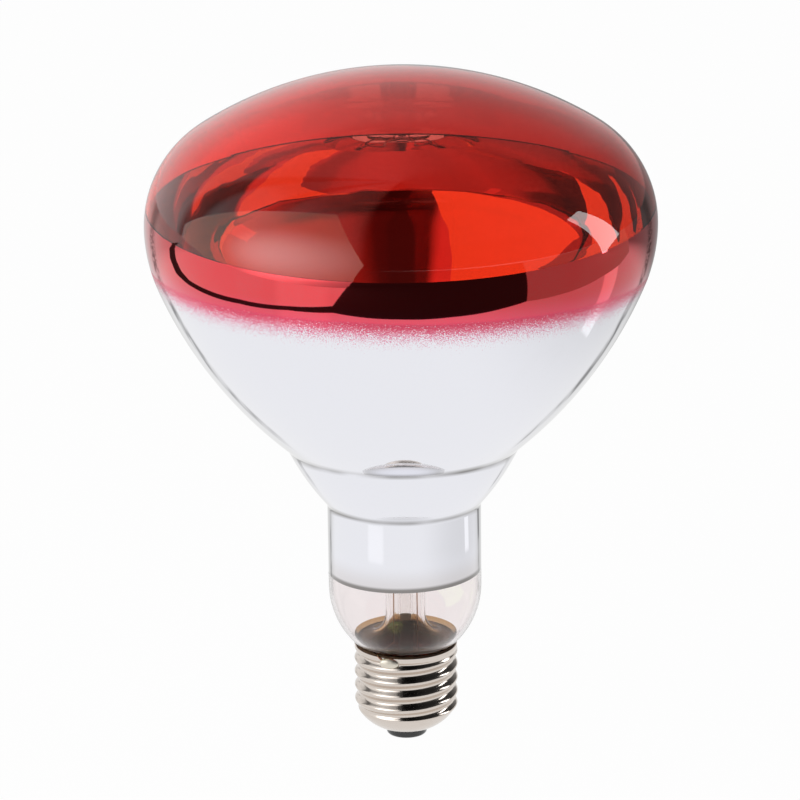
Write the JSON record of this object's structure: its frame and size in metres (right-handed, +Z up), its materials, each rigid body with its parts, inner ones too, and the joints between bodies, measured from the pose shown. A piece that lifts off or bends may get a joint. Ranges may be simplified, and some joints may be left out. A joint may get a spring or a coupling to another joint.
{
  "type": "infrared heat lamp bulb",
  "caption": "Reflector heat lamp with a red coated lens, a silvered conical reflector, a clear neck with its glass stem, and a screw cap with centre contact.",
  "frame": {"origin": "lowest point of the centre contact, on the axis of the lamp", "axes": "+Z up the axis from the cap to the lens, -Y towards the side of the cap with the side solder"},
  "size_m": [0.125, 0.125, 0.1713],
  "materials": {
    "bulb_glass": "blown hard glass, red coat on the lens, silver film in the reflector, clear at the neck",
    "stem_glass": "clear drawn glass",
    "cap_nickel": "nickel plated rolled sheet",
    "cap_glass": "black moulded glass",
    "cement": "dry baked cement",
    "contact_brass": "stamped sheet",
    "solder": "dull solder",
    "copper_wire": "drawn wire",
    "nickel_wire": "drawn wire",
    "tungsten": "coiled wire"
  },
  "bodies": {
    "root": {"glass_bulb": "bulb_glass", "stem_flare": "stem_glass", "exhaust_tube": "stem_glass", "filament_arbor": "stem_glass", "seal_wire_left": "copper_wire", "seal_wire_right": "copper_wire", "inner_lead_left": "nickel_wire", "inner_lead_right": "nickel_wire", "outer_lead_contact": "copper_wire", "outer_lead_shell": "copper_wire", "filament": "tungsten", "filament_support_1": "nickel_wire", "filament_support_2": "nickel_wire", "filament_support_3": "nickel_wire", "filament_support_4": "nickel_wire", "cap_shell": "cap_nickel", "cap_insulator": "cap_glass", "cap_cement": "cement", "contact_plate": "contact_brass", "contact_solder": "solder", "side_solder": "solder"}
  },
  "joints": []
}
